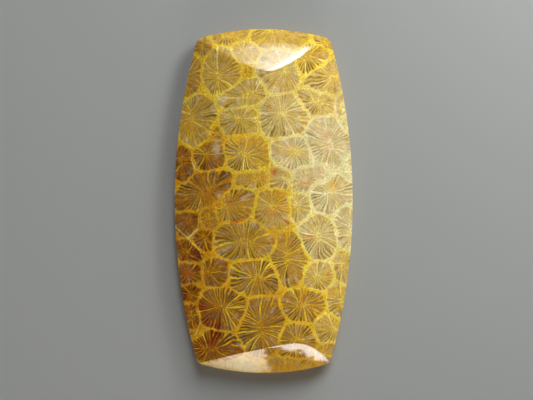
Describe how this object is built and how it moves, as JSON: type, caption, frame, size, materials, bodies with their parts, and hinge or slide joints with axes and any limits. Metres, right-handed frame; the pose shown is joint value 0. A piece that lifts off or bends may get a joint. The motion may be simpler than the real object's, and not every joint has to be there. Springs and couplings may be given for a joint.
{
  "type": "agatized coral cabochon",
  "caption": "Long barrel-shaped polished cabochon of agatized fossil coral, domed on top with ground end slopes, and flat on the back for setting in jewellery or display.",
  "frame": {"origin": "middle of the flat back, on the surface that the stone rests on", "axes": "+Y along the stone towards the end with the broader ridge, +Z out of the dome, +X to the right when seen from above with +Y up"},
  "size_m": [0.025, 0.0484, 0.0063],
  "materials": {
    "agatized_coral": "polished"
  },
  "bodies": {
    "root": {"cabochon": "agatized_coral"}
  },
  "joints": []
}
